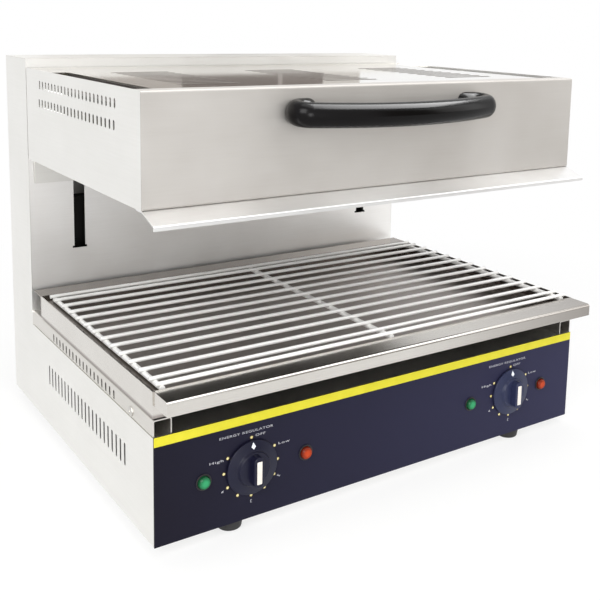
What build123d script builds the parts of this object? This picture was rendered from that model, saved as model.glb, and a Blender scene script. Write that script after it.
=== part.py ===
from build123d import *

import math
import os

# A salamander grill in millimetres: X to the right, Y to the back, Z up from the table that it stands on.

# Casing
casing_width = 600.0
casing_depth = 485.0  # fascia face to the mast's rear edge
foot_height = 12.0  # table to the underside of the base
base_height = 116.0  # underside of the base to the top of its deck
mast_height = 468.0  # underside of the base to the top of the mast
mast_depth = 90.0  # face of the mast's front panel to the mast's rear edge
sheet = 1.2  # stainless sheet of the casing
flange = 14.0  # turned-in edge of a casing sheet

# Fits
overrun = 1.0  # how far a cutter passes the faces that it cuts
shaft_clearance = 0.05  # radial, a shaft in its bush or seat
hole_clearance = 0.2  # radial, a screw, stem or tube in its hole
slide_clearance = 0.2  # drip tray on its rails, element on its supports
weld = 0.5  # how far welded wires sink into each other

# Base
fascia_thickness = 1.5
fascia_rise = 1.0  # fascia above the deck
stripe_height = 10.0
stripe_thickness = 0.3
foot_diameter = 30.0
foot_taper = 4.0  # a foot is this much narrower at the table
foot_inset = 93.0  # casing side to the middle of the feet
front_foot_setback = 17.0  # fascia face to the front feet
rear_foot_setback = 37.5  # rear edge to the rear feet
base_vent_count = 22
base_vent_width = 4.0
base_vent_height = 25.5
base_vent_start = 76.0  # fascia face to the first vent
base_vent_end = 67.0  # last vent to the mast
base_vent_rise = 68.25  # underside of the base to the middle of the vents

# Tray rails
rail_width = 20.0
rail_height = 18.5
rail_corner = 2.5
rail_vent_count = 18
rail_vent_width = 4.0
rail_vent_height = 10.0
rail_vent_start = 105.0  # fascia face to the first vent
rail_vent_end = 87.7  # last vent to the mast
rail_vent_rise = 8.0  # deck to the middle of the vents
rail_screw_setback = 57.5  # fascia face to the screw
rail_screw_rise = 7.5  # deck to the screw
rail_screw_head = 11.0
rail_screw_head_height = 1.5
rail_screw_shank = 5.0
rail_screw_length = 6.0

# Controls
dial_inset = 110.0  # end of the fascia to its dial
dial_rise = 58.0  # underside of the base to the dials
knob_diameter = 60.0
knob_gap = 1.0  # fascia face to the back of the knob
skirt_edge = 2.5  # thickness of the knob's skirt at its edge
skirt_rise = 2.0  # skirt's slope, from its edge to the hub
skirt_width = 10.5  # skirt around the hub
hub_taper = 1.5
hub_depth = 3.5
grip_inset = 2.5  # edge of the hub to the end of the grip bar
grip_width = 12.0
grip_depth = 9.0
insert_margin = 4.5  # end of the grip bar to its insert
insert_width = 6.0
insert_depth = 1.5
spindle_diameter = 6.0
spindle_reach = 12.0  # back of the knob to the end of its bore
spindle_depth = 18.0  # fascia back to the end of the spindle in the regulator
bush_diameter = 10.0
regulator_width = 44.0
regulator_height = 50.0
regulator_depth = 38.0
lamp_rise = 56.0  # underside of the base to the lamps
lamp_inner_offset = 68.0  # dial to the lamp nearer the fascia's middle
lamp_outer_offset = 56.0  # dial to the lamp nearer the fascia's end
lamp_diameter = 14.0
lamp_height = 5.0
lamp_round = 3.0
lamp_stem = 9.0
lamp_holder_diameter = 14.0
lamp_holder_length = 24.0

# Mains entry and wiring
gland_inset = 90.0  # left casing side to the gland
gland_rise = 33.0  # underside of the base to the gland
gland_bore = 9.0
gland_stem = 16.0
gland_hexagon = 24.0  # across corners
gland_nut = 5.0
terminal_width = 76.0
terminal_depth = 28.0
terminal_height = 22.0
terminal_setback = 110.0  # rear edge to the middle of the terminal block
terminal_poles = 5
terminal_screw = 7.0
terminal_screw_depth = 8.0

# Drip tray
lip_reach = 30.0  # lip in front of the fascia face
lip_drop = 15.0
lip_bend = 3.0
tray_setback = 2.0  # front wall behind the fascia face
tray_back_gap = 36.5  # rear wall to the face of the mast
tray_height = 28.3
tray_back_flange = 28.0
ledge_width = 16.0
ledge_depth = 4.5  # tray rim down to the ledges
ledge_skirt = 12.0
runner_height = 9.0
runner_flange = 1.5  # runner between the tray and its rail
runner_margin = 5.0  # casing side to the runner's flange
runner_setback = 30.0  # tray front wall to the runners

# Wire grid
cross_rod = 6.0
cross_rod_inset = 13.0  # casing side to the middle of the outer cross rods
wire_diameter = 4.5
wire_count = 12  # between the front and rear wires
wire_tail = 6.5  # wires past the middle of the outer cross rods
wire_front_gap = 7.5  # tray front wall to the middle of the front wire
wire_back_gap = 20.0  # middle of the rear wire to the tray's rear wall
wire_end_share = 0.6  # first and last gap between wires over their pitch

# Mast
cover_inset = 12.0  # rear edge to the back cover's outer face
slot_inset = 66.0  # casing side to the middle of the upright slots
slot_width = 15.0
slot_top_gap = 6.0  # arm to the top of its slot
slot_bottom_gap = 3.0  # lowered arm to the bottom of its slot
slot_foot_width = 20.0
slot_foot_height = 3.0
cover_screw_count = 4  # on each side
cover_screw_margin = 30.0  # end of the cover to the outermost screws
cover_screw_head = 8.0
cover_screw_head_height = 2.5
cover_screw_shank = 4.0
cover_screw_length = 8.0

# Rise-and-fall gear
lowered_gap = 11.5  # drip tray to the hood's rear plate, hood lowered
guide_diameter = 16.0
guide_inset = 110.0  # casing side to the guide rods
guide_seat = 5.0  # rod end in its cross member
lower_member = 12.0
lower_member_gap = 2.0  # deck to the lower cross member
upper_member = 8.8
carriage_inset = 45.0  # casing side to the carriage plate
carriage_height = 90.0
carriage_thickness = 4.0
carriage_gap = 10.5  # face of the mast to the carriage plate
carriage_drop = 48.0  # hood top to the top of the carriage plate
arm_thickness = 10.0
arm_rise = 28.0  # lower edge of the carriage plate to the arms
bearing_width = 36.0
bearing_height = 30.0
bearing_margin = 5.0  # ends of the carriage plate to the bearings
bush_wall = 3.0
rope_diameter = 3.0
rope_offset = 70.0  # guide rod to rope, towards the middle
rope_gap = 0.3  # rope in its pulley groove
lug_width = 16.0
lug_depth = 14.0
lug_height = 14.0
lug_drop = 6.0  # top of the carriage plate to the lugs
pulley_rim = 2.0  # middle of the rope to the edge of the pulley
pulley_width = 12.0
pulley_gap = 3.0  # upper cross member to the pulleys
pulley_side_gap = 1.0
pin_diameter = 8.0
pin_tail = 2.0
cheek_thickness = 3.0
cheek_width = 24.0
cheek_tail = 12.0  # cheeks below the pulley's axis
weight_inset = 25.0  # casing side to the counterweight
weight_share = 11 / 29  # counterweight's share of the depth that it and the bearings fill
weight_front_gap = 2.0  # bearings to the counterweight
weight_back_gap = 1.1  # counterweight to the mast's rear flanges
weight_height = 140.0
weight_gap = 2.0  # lower cross member to the counterweight, hood raised
weight_rod = 10.0
weight_rod_inset = 60.0  # casing side to the counterweight's rods
weight_rod_clearance = 0.5

# Hood
hood_drop = 12.0  # mast top to the top of the raised hood
hood_height = 117.0
hood_setback = 24.0  # fascia face to the hood's front
hood_gap = 2.0  # hood to the mast
hood_bend = 2.0
top_fold = 20.0  # front panel's folded top edge
hood_vent_count = 22
hood_vent_width = 4.5
hood_vent_height = 10.2
upper_vent_start = 67.0  # hood front to the upper row
upper_vent_end = 55.0  # upper row to the hood's back
upper_vent_drop = 18.0  # hood top to the middle of the upper row
lower_vent_start = 70.0
lower_vent_end = 52.0
lower_vent_drop = 40.5
trench_width = 25.0
trench_depth = 16.0
trench_start = 24.0  # hood front to the trenches
trench_back_gap = 79.5  # trenches to the rear plate
trench_floor_gap = 67.0  # end of the trench floor to the end of the trench
trench_tab = 5.0
trench_tab_gap = 24.0  # end of the trench floor to the tab behind it
deck_tuck = 8.0  # hood deck under the folded edge
deck_slot_count = 11
deck_slot_length = 76.0
deck_slot_width = 5.0
deck_slot_start = 76.0  # hood front to the first slots
deck_slot_end = 101.5  # last slots to the rear plate
deck_field_margin = 47.8  # outer slots to the trenches
rear_plate_thickness = 1.5
rear_plate_inset = 7.0  # casing side to the rear plate
rear_plate_drop = 33.0  # rear plate below the hood
visor_reach = 28.0
visor_drop = 14.0
visor_hem = 4.0
visor_bend = 1.5

# Handle
handle_drop = 26.2  # hood top to the middle of the handle's feet
handle_droop = 5.0  # degrees that the handle leans down from its feet
handle_spread = 239.0  # between the middles of the end bends
handle_foot_bend = 12.0
handle_end_bend = 12.5
handle_reach = 43.0  # panel to the middle of the bar
handle_depth = 22.0
handle_height = 27.0
handle_screw = 6.0
handle_screw_depth = 7.0
handle_screw_head = 12.0
handle_screw_head_height = 4.0

# Heating
reflector_sheet = 0.8
reflector_inset = 32.0  # casing side to the reflector's walls
reflector_front_gap = 15.5  # hood front to the reflector's front wall
reflector_back_gap = 15.5  # hood back to the reflector's rear wall
reflector_height = 43.0
insulation_margin = 6.0
insulation_height = 30.0
element_diameter = 8.0
element_drop_share = 0.6  # reflector top to the middle of the elements, over the reflector's height
element_runs = 6
element_side_gap = 22.0  # outer run to the reflector's side
element_bend_share = 0.39  # bend radius over the pitch of the runs
element_middle_gap = 32.0  # between the two elements
element_margin = 14.0  # reflector wall to the elements' bends
element_tail = 9.0  # element ends behind the reflector
support_count = 3
support_thickness = 2.0
support_height = 10.0
support_margin = 50.0

# Places that follow from the sizes above
half_width = casing_width / 2
inner_half = half_width - sheet
fascia_y = (lip_reach - casing_depth) / 2
fascia_back = fascia_y + fascia_thickness
back_y = fascia_y + casing_depth
mast_y = back_y - mast_depth
mast_back = mast_y + sheet
cover_y = back_y - cover_inset - sheet
base_z = foot_height
deck_z = base_z + base_height
mast_top = base_z + mast_height
cap_z = mast_top - sheet
dial_x = half_width - dial_inset
dial_z = base_z + dial_rise
lamp_z = base_z + lamp_rise
hub_diameter = knob_diameter - 2 * skirt_width
grip_length = hub_diameter - 2 * grip_inset
insert_length = grip_length - 2 * insert_margin
knob_back = fascia_y - knob_gap
skirt_front = knob_back - skirt_edge
hub_back = skirt_front - skirt_rise
grip_back = hub_back - hub_depth
grip_front = grip_back - grip_depth
gland_x = gland_inset - half_width
rail_top = deck_z + rail_height
tray_z = rail_top + slide_clearance + runner_flange
rim_z = tray_z + tray_height
tray_front = fascia_y + tray_setback
tray_back = mast_y - tray_back_gap
ledge_z = rim_z - ledge_depth
hood_top = mast_top - hood_drop
hood_z = hood_top - hood_height
hood_front = fascia_y + hood_setback
hood_back = mast_y - hood_gap
hood_travel = hood_z - rear_plate_drop - rim_z - lowered_gap
panel_back = hood_front + sheet
rear_plate_y = hood_back - rear_plate_thickness
deck_top = hood_top - sheet
slot_x = half_width - slot_inset
carriage_y = mast_y + carriage_gap
carriage_back = carriage_y + carriage_thickness
carriage_top = hood_top - carriage_drop
carriage_z = carriage_top - carriage_height
arm_height = carriage_height - arm_rise
arm_z = carriage_z + arm_rise
lower_member_z = deck_z + lower_member_gap
lower_member_top = lower_member_z + lower_member
upper_member_z = cap_z - upper_member
gear_back = cover_y - sheet - weight_back_gap
gear_depth = gear_back - weight_front_gap - carriage_back
weight_thickness = gear_depth * weight_share
bearing_depth = gear_depth - weight_thickness
guide_x = half_width - guide_inset
guide_y = carriage_back + bearing_depth / 2
bush_radius = guide_diameter / 2 + bush_wall
weight_rod_x = half_width - weight_rod_inset
weight_y = gear_back - weight_thickness / 2
weight_z = lower_member_top + weight_gap
weight_top = weight_z + weight_height
rope_x = guide_x - rope_offset
rope_front_y = carriage_back + lug_depth / 2
pulley_pitch_diameter = weight_y - rope_front_y
pulley_radius = pulley_pitch_diameter / 2
pulley_diameter = pulley_pitch_diameter + 2 * pulley_rim
pulley_y = rope_front_y + pulley_radius
pulley_z = upper_member_z - pulley_gap - pulley_diameter / 2
reflector_half = half_width - reflector_inset
reflector_front = hood_front + reflector_front_gap
reflector_back = hood_back - reflector_back_gap
reflector_z = hood_z + sheet
reflector_top = reflector_z + reflector_height
element_z = reflector_top - reflector_height * element_drop_share
element_pitch = (reflector_half - element_side_gap - element_middle_gap / 2) / (element_runs - 1)
handle_z = hood_top - handle_drop


def block(x0, x1, y0, y1, z0, z1):
    """A box between two opposite corners."""
    return Pos((x0 + x1) / 2, (y0 + y1) / 2, (z0 + z1) / 2) * Box(x1 - x0, y1 - y0, z1 - z0)


def bar_x(diameter, y, z, x0, x1):
    """A round bar along X."""
    return Pos((x0 + x1) / 2, y, z) * Rot(0, 90, 0) * Cylinder(diameter / 2, x1 - x0)


def bar_y(diameter, x, z, y0, y1):
    """A round bar along Y."""
    return Pos(x, (y0 + y1) / 2, z) * Rot(90, 0, 0) * Cylinder(diameter / 2, y1 - y0)


def bar_z(diameter, x, y, z0, z1):
    """A round bar along Z."""
    return Pos(x, y, (z0 + z1) / 2) * Cylinder(diameter / 2, z1 - z0)


def mirrored(shape):
    """The left-hand copy of a right-hand piece."""
    return mirror(shape, about=Plane.YZ)


def pair(shape):
    """A right-hand piece and its left-hand copy."""
    return [shape, mirrored(shape)]


def folded(points, thickness, bend, x0, x1):
    """A folded sheet along X; points are (y, z) along the middle of its thickness."""
    section = trace(FilletPolyline(*points, radius=bend), line_width=thickness)
    return Pos(x0, 0, 0) * (Plane.YZ * extrude(section, x1 - x0))


def side_sheet(y0, y1, z0, z1, slots):
    """A sheet in the casing's right-hand face; slots are (y, z, width, height) of upright slots."""
    face = Pos((y0 + y1) / 2, (z0 + z1) / 2) * Rectangle(y1 - y0, z1 - z0)
    face -= [Pos(y, z) * SlotOverall(height, width, rotation=90) for y, z, width, height in slots]
    return Plane.YZ.offset(inner_half) * extrude(face, sheet)


def base_side():
    """Right-hand side panel of the base, with a row of upright vents."""
    first = fascia_y + base_vent_start
    pitch = (mast_y - base_vent_end - first) / (base_vent_count - 1)
    slots = []
    for i in range(base_vent_count):
        slots.append((first + i * pitch, base_z + base_vent_rise, base_vent_width, base_vent_height))
    return side_sheet(fascia_back, mast_y, base_z, deck_z, slots)


def base_floor():
    """Floor of the base and the mast."""
    return block(-inner_half, inner_half, fascia_back, cover_y, base_z, base_z + sheet)


def base_deck():
    """Top of the base, under the drip tray."""
    return block(-inner_half, inner_half, fascia_back, mast_y, deck_z - sheet, deck_z)


def feet():
    """Four low round feet, narrower at the table."""
    foot_radius = foot_diameter / 2
    foot = Cone(foot_radius - foot_taper / 2, foot_radius, foot_height)
    foot_x = half_width - foot_inset
    spots = []
    for x in (-foot_x, foot_x):
        for y in (fascia_y + front_foot_setback, back_y - rear_foot_setback):
            spots.append(Pos(x, y, foot_height / 2) * foot)
    return spots


def lamp_places():
    """X of the four lamps, from left to right."""
    inner = dial_x - lamp_inner_offset
    outer = dial_x + lamp_outer_offset
    return [-outer, -inner, inner, outer]


def control_fascia():
    """Painted front plate with the holes for regulators and lamps."""
    plate = block(-half_width, half_width, fascia_y, fascia_back, base_z, deck_z + fascia_rise)
    front = fascia_y - overrun
    rear = fascia_back + overrun
    bush_hole = bush_diameter + 2 * hole_clearance
    lamp_hole = lamp_stem + 2 * hole_clearance
    holes = [bar_y(bush_hole, x, dial_z, front, rear) for x in (-dial_x, dial_x)]
    holes += [bar_y(lamp_hole, x, lamp_z, front, rear) for x in lamp_places()]
    return plate - holes


def fascia_stripe():
    """Coloured stripe along the top of the fascia."""
    top = deck_z + fascia_rise
    return block(-half_width, half_width, fascia_y - stripe_thickness, fascia_y, top - stripe_height, top)


def tray_rail():
    """Right-hand box channel that carries the tray, open at the front and vented in its outer wall."""
    middle = Pos(half_width - rail_width / 2, deck_z + rail_height / 2)
    outside = RectangleRounded(rail_width, rail_height, rail_corner)
    inside = RectangleRounded(rail_width - 2 * sheet, rail_height - 2 * sheet, rail_corner - sheet)
    section = middle * (outside - inside)
    rail = Plane.XZ.offset(-mast_y) * extrude(section, mast_y - fascia_back)
    first = fascia_y + rail_vent_start
    pitch = (mast_y - rail_vent_end - first) / (rail_vent_count - 1)
    vents = []
    for i in range(rail_vent_count):
        y = first + i * pitch
        vent = Pos(y, deck_z + rail_vent_rise) * SlotOverall(rail_vent_height, rail_vent_width, rotation=90)
        vents.append(Plane.YZ.offset(inner_half - overrun) * extrude(vent, sheet + 2 * overrun))
    hole = rail_screw_shank + 2 * hole_clearance
    y, z = rail_screw_place()
    return rail - vents - bar_x(hole, y, z, inner_half - overrun, half_width + overrun)


def rail_screw_place():
    """Y and Z of the screw in a rail's outer wall."""
    return fascia_y + rail_screw_setback, deck_z + rail_screw_rise


def rail_screw():
    """Round-headed screw in the right-hand rail."""
    y, z = rail_screw_place()
    head = bar_x(rail_screw_head, y, z, half_width, half_width + rail_screw_head_height)
    head = fillet(head.edges().filter_by(GeomType.CIRCLE).sort_by(Axis.X)[-1], rail_screw_head_height / 2)
    return head + bar_x(rail_screw_shank, y, z, half_width - rail_screw_length, half_width)


def regulator():
    """Right-hand energy regulator behind the fascia, with a bush for its spindle."""
    x0, x1 = dial_x - regulator_width / 2, dial_x + regulator_width / 2
    z0, z1 = dial_z - regulator_height / 2, dial_z + regulator_height / 2
    body = block(x0, x1, fascia_back, fascia_back + regulator_depth, z0, z1)
    body += bar_y(bush_diameter, dial_x, dial_z, fascia_y, fascia_back)
    bore = spindle_diameter + 2 * shaft_clearance
    return body - bar_y(bore, dial_x, dial_z, fascia_y - overrun, fascia_back + spindle_depth)


def spindle():
    """Right-hand regulator's spindle, from its bore into the knob."""
    return bar_y(spindle_diameter, dial_x, dial_z, knob_back - spindle_reach, fascia_back + spindle_depth)


def knob():
    """Right-hand knob: a sloping skirt, a low hub and a grip bar with a pocket for its insert."""
    hub_radius = hub_diameter / 2
    body = bar_y(knob_diameter, dial_x, dial_z, skirt_front, knob_back)
    slope = Cone(knob_diameter / 2, hub_radius, skirt_rise)
    body += Pos(dial_x, skirt_front - skirt_rise / 2, dial_z) * Rot(90, 0, 0) * slope
    hub = Cone(hub_radius, hub_radius - hub_taper, hub_depth)
    body += Pos(dial_x, hub_back - hub_depth / 2, dial_z) * Rot(90, 0, 0) * hub
    grip = extrude(SlotOverall(grip_length, grip_width, rotation=90), grip_depth)
    body += Pos(dial_x, grip_back, dial_z) * Rot(90, 0, 0) * grip
    bore = spindle_diameter + 2 * shaft_clearance
    body -= bar_y(bore, dial_x, dial_z, knob_back - spindle_reach, knob_back + overrun)
    return body - knob_insert()


def knob_insert():
    """White insert in the face of the right-hand grip bar."""
    x0, x1 = dial_x - insert_width / 2, dial_x + insert_width / 2
    z0, z1 = dial_z - insert_length / 2, dial_z + insert_length / 2
    return block(x0, x1, grip_front, grip_front + insert_depth, z0, z1)


def lamp(x):
    """Domed lamp lens on the fascia with its stem in the fascia's hole."""
    lens = bar_y(lamp_diameter, x, lamp_z, fascia_y - lamp_height, fascia_y)
    lens = fillet(lens.edges().filter_by(GeomType.CIRCLE).sort_by(Axis.Y)[0], lamp_round)
    return lens + bar_y(lamp_stem, x, lamp_z, fascia_y, fascia_back)


def lamp_holder(x):
    """Lamp holder behind the fascia."""
    return bar_y(lamp_holder_diameter, x, lamp_z, fascia_back, fascia_back + lamp_holder_length)


def terminal_block():
    """Mains terminal block on the floor, in front of the gland."""
    y = back_y - terminal_setback
    z0 = base_z + sheet
    z1 = z0 + terminal_height
    x0 = gland_x - terminal_width / 2
    body = block(x0, x0 + terminal_width, y - terminal_depth / 2, y + terminal_depth / 2, z0, z1)
    pitch = terminal_width / terminal_poles
    for i in range(terminal_poles):
        x = x0 + (i + 1 / 2) * pitch
        body -= bar_z(terminal_screw, x, y, z1 - terminal_screw_depth, z1 + overrun)
    return body


def hexagon_y(corners, x, z, y0, y1):
    """A hexagonal bar along Y, corners being its size across corners."""
    return Pos(x, y1, z) * Rot(90, 0, 0) * extrude(RegularPolygon(corners / 2, 6), y1 - y0)


def cable_gland():
    """Cable gland through the back cover: hexagon outside, nut inside, bored for the cable."""
    x, z = gland_x, base_z + gland_rise
    outer = cover_y + sheet
    gland = hexagon_y(gland_hexagon, x, z, outer, back_y)
    gland += bar_y(gland_stem, x, z, cover_y, outer)
    gland += hexagon_y(gland_hexagon, x, z, cover_y - gland_nut, cover_y)
    return gland - bar_y(gland_bore, x, z, cover_y - gland_nut - overrun, back_y + overrun)


def cover_screw_places():
    """X and Z of the right-hand back cover screws, in the middle of the mast's rear flange."""
    first = base_z + cover_screw_margin
    step = (cap_z - cover_screw_margin - first) / (cover_screw_count - 1)
    return [(inner_half - flange / 2, first + i * step) for i in range(cover_screw_count)]


def mast_side():
    """Right-hand mast sheet with a flange behind the front panel and one for the back cover."""
    web = side_sheet(mast_y, back_y, base_z, cap_z, [])
    edge = inner_half - flange
    web += block(edge, inner_half, mast_back, mast_back + sheet, base_z + sheet, cap_z)
    web += block(edge, inner_half, cover_y - sheet, cover_y, base_z + sheet, cap_z)
    hole = cover_screw_shank + 2 * hole_clearance
    front, rear = cover_y - sheet - overrun, cover_y + overrun
    return web - [bar_y(hole, x, z, front, rear) for x, z in cover_screw_places()]


def mast_front_panel():
    """Front panel of the mast with two upright slots, wider at their feet."""
    panel = block(-inner_half, inner_half, mast_y, mast_back, deck_z - sheet, cap_z)
    top = arm_z + arm_height + slot_top_gap
    bottom = arm_z - hood_travel - slot_bottom_gap
    front, rear = mast_y - overrun, mast_back + overrun
    for x in (-slot_x, slot_x):
        panel -= block(x - slot_width / 2, x + slot_width / 2, front, rear, bottom, top)
        foot_half = slot_foot_width / 2
        panel -= block(x - foot_half, x + foot_half, front, rear, bottom, bottom + slot_foot_height)
    return panel


def mast_top_cap():
    """Cap over the mast."""
    return block(-half_width, half_width, mast_y, back_y, cap_z, mast_top)


def back_cover():
    """Removable back cover of the base and mast."""
    outer = cover_y + sheet
    cover = block(-inner_half, inner_half, cover_y, outer, base_z, cap_z)
    front, rear = cover_y - overrun, outer + overrun
    cover -= bar_y(gland_stem + 2 * hole_clearance, gland_x, base_z + gland_rise, front, rear)
    hole = cover_screw_shank + 2 * hole_clearance
    for x, z in cover_screw_places():
        cover -= pair(bar_y(hole, x, z, front, rear))
    return cover


def back_cover_screws():
    """Pan-headed screws of the back cover."""
    screws = []
    outer = cover_y + sheet
    for x, z in cover_screw_places():
        screw = bar_y(cover_screw_head, x, z, outer, outer + cover_screw_head_height)
        screw += bar_y(cover_screw_shank, x, z, outer - cover_screw_length, outer)
        screws += pair(screw)
    return screws


def guide_rod():
    """Right-hand guide rod, seated in both cross members."""
    z0, z1 = lower_member_top - guide_seat, upper_member_z + guide_seat
    return bar_z(guide_diameter, guide_x, guide_y, z0, z1)


def weight_guide_rod():
    """Right-hand guide rod of the counterweight, seated in both cross members."""
    z0, z1 = lower_member_top - guide_seat, upper_member_z + guide_seat
    return bar_z(weight_rod, weight_rod_x, weight_y, z0, z1)


def cross_member(z0, z1, seat0, seat1):
    """Cross member between the mast sides, with blind seats for the rod ends."""
    member = block(-inner_half, inner_half, mast_back + sheet, cover_y - sheet, z0, z1)
    guide_seat_size = guide_diameter + 2 * shaft_clearance
    weight_seat_size = weight_rod + 2 * shaft_clearance
    member -= pair(bar_z(guide_seat_size, guide_x, guide_y, seat0, seat1))
    return member - pair(bar_z(weight_seat_size, weight_rod_x, weight_y, seat0, seat1))


def guide_cross_members():
    """Lower and upper cross members of the mast."""
    lower_seat = lower_member_top - guide_seat
    upper_seat = upper_member_z + guide_seat
    return [cross_member(lower_member_z, lower_member_top, lower_seat, lower_member_top + overrun),
            cross_member(upper_member_z, cap_z, upper_member_z - overrun, upper_seat)]


def pulley():
    """Right-hand rope pulley with a groove for the rope and a bore for its pin."""
    x0, x1 = rope_x - pulley_width / 2, rope_x + pulley_width / 2
    wheel = bar_x(pulley_diameter, pulley_y, pulley_z, x0, x1)
    rim = rope_diameter / 2 + rope_gap
    groove = Pos(rope_x, pulley_y, pulley_z) * Rot(0, 90, 0) * Torus(pulley_radius, rim)
    ring = bar_x(pulley_diameter + 2 * overrun, pulley_y, pulley_z, rope_x - rim, rope_x + rim)
    ring -= bar_x(pulley_pitch_diameter, pulley_y, pulley_z, rope_x - rim - overrun, rope_x + rim + overrun)
    bore = pin_diameter + 2 * shaft_clearance
    return wheel - groove - ring - bar_x(bore, pulley_y, pulley_z, x0 - overrun, x1 + overrun)


def pulley_pin():
    """Right-hand pulley's pin, through both cheeks of its bracket."""
    reach = pulley_width / 2 + pulley_side_gap + cheek_thickness + pin_tail
    return bar_x(pin_diameter, pulley_y, pulley_z, rope_x - reach, rope_x + reach)


def pulley_cheeks():
    """The two cheeks of the right-hand pulley bracket, under the upper cross member."""
    cheeks = []
    inner = pulley_width / 2 + pulley_side_gap
    outer = inner + cheek_thickness
    y0, y1 = pulley_y - cheek_width / 2, pulley_y + cheek_width / 2
    hole = pin_diameter + 2 * shaft_clearance
    for x0, x1 in ((rope_x - outer, rope_x - inner), (rope_x + inner, rope_x + outer)):
        cheek = block(x0, x1, y0, y1, pulley_z - cheek_tail, upper_member_z)
        cheeks.append(cheek - bar_x(hole, pulley_y, pulley_z, x0 - overrun, x1 + overrun))
    return cheeks


def lift_rope():
    """Right-hand rope, from its lug over the pulley down to the counterweight."""
    lug_top = carriage_top - lug_drop
    front = Line((rope_x, rope_front_y, lug_top), (rope_x, rope_front_y, pulley_z))
    crown = (rope_x, pulley_y, pulley_z + pulley_radius)
    over = ThreePointArc((rope_x, rope_front_y, pulley_z), crown, (rope_x, weight_y, pulley_z))
    rear = Line((rope_x, weight_y, pulley_z), (rope_x, weight_y, weight_top))
    section = Plane(origin=(rope_x, rope_front_y, lug_top), z_dir=(0, 0, 1)) * Circle(rope_diameter / 2)
    return sweep(section, path=Wire([front, over, rear]))


def counterweight():
    """Counterweight behind the carriage, bored for its two rods."""
    y0, y1 = weight_y - weight_thickness / 2, weight_y + weight_thickness / 2
    half = half_width - weight_inset
    weight = block(-half, half, y0, y1, weight_z, weight_top)
    bore = weight_rod + 2 * weight_rod_clearance
    return weight - pair(bar_z(bore, weight_rod_x, weight_y, weight_z - overrun, weight_top + overrun))


def carriage_plate():
    """Plate inside the mast that carries the hood's arms."""
    half = half_width - carriage_inset
    return block(-half, half, carriage_y, carriage_back, carriage_z, carriage_top)


def carriage_arm():
    """Right-hand arm, from the hood's rear plate through the mast's slot to the carriage plate."""
    x0, x1 = slot_x - arm_thickness / 2, slot_x + arm_thickness / 2
    return block(x0, x1, hood_back, carriage_y, arm_z, arm_z + arm_height)


def rope_lug():
    """Right-hand lug on the carriage plate, where the rope ends."""
    z1 = carriage_top - lug_drop
    x0, x1 = rope_x - lug_width / 2, rope_x + lug_width / 2
    return block(x0, x1, carriage_back, carriage_back + lug_depth, z1 - lug_height, z1)


def bearing_places():
    """Z of the lower and upper bearings on the carriage plate."""
    return [carriage_z + bearing_margin, carriage_top - bearing_margin - bearing_height]


def bearing_block(z):
    """Right-hand bearing block on the carriage plate."""
    x0, x1 = guide_x - bearing_width / 2, guide_x + bearing_width / 2
    body = block(x0, x1, carriage_back, carriage_back + bearing_depth, z, z + bearing_height)
    return body - bar_z(2 * bush_radius, guide_x, guide_y, z - overrun, z + bearing_height + overrun)


def guide_bush(z):
    """Right-hand bush in its bearing block, running on the guide rod."""
    bush = bar_z(2 * bush_radius, guide_x, guide_y, z, z + bearing_height)
    bore = guide_diameter + 2 * shaft_clearance
    return bush - bar_z(bore, guide_x, guide_y, z - overrun, z + bearing_height + overrun)


def drip_tray():
    """Drip tray: an open pan with a flat rear flange and a wide turned-down front lip."""
    pan = block(-half_width, half_width, tray_front, tray_back, tray_z, rim_z)
    y0, y1 = tray_front + sheet, tray_back - sheet
    pan -= block(-inner_half, inner_half, y0, y1, tray_z + sheet, rim_z + overrun)
    pan += block(-half_width, half_width, y1, tray_back + tray_back_flange, rim_z - sheet, rim_z)
    lip_front = fascia_y - lip_reach
    middle = sheet / 2
    top = rim_z - middle
    lip = [(tray_front + sheet, top), (lip_front + middle, top), (lip_front + middle, rim_z - lip_drop)]
    pan += folded(lip, sheet, lip_bend, -inner_half, inner_half)
    lip_depth = tray_front - lip_front
    facet = Pos(lip_front + lip_depth / 2, rim_z - lip_drop / 2) * Rectangle(lip_depth, lip_drop)
    facet = fillet(facet.vertices().group_by(Axis.X)[0], lip_bend + middle)
    pan += pair(Plane.YZ.offset(inner_half - sheet) * extrude(facet, sheet))
    return pan


def grid_ledge():
    """Right-hand angle inside the tray that carries the grid's outer cross rod."""
    y0, y1 = tray_front + sheet, tray_back - sheet
    ledge = block(inner_half - ledge_width, inner_half, y0, y1, ledge_z - sheet, ledge_z)
    return ledge + block(inner_half - sheet, inner_half, y0, y1, ledge_z - ledge_skirt, ledge_z)


def tray_runner():
    """Right-hand angle under the tray: it lies on the rail and runs along the rail's inner wall."""
    x1 = half_width - rail_width - slide_clearance
    y0 = tray_front + runner_setback
    runner = block(x1 - sheet, x1, y0, tray_back, tray_z - runner_height, tray_z)
    flange_x = half_width - runner_margin
    return runner + block(x1 - sheet, flange_x, y0, tray_back, tray_z - runner_flange, tray_z)


def wire_grid():
    """Wire grid: three cross rods with a row of wires welded across them."""
    x = half_width - cross_rod_inset
    y0 = tray_front + wire_front_gap
    y1 = tray_back - wire_back_gap
    z = ledge_z + cross_rod / 2
    wire_z = z + (cross_rod + wire_diameter) / 2 - weld
    pitch = (y1 - y0) / (wire_count - 1 + 2 * wire_end_share)
    places = [y0] + [y0 + (wire_end_share + i) * pitch for i in range(wire_count)] + [y1]
    grid = bar_y(cross_rod, 0, z, y0 - wire_diameter / 2, y1 + wire_diameter / 2)
    grid += pair(bar_y(cross_rod, x, z, y0 - wire_diameter / 2, y1 + wire_diameter / 2))
    for y in places:
        grid += bar_x(wire_diameter, y, wire_z, -x - wire_tail, x + wire_tail)
    return grid


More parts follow.
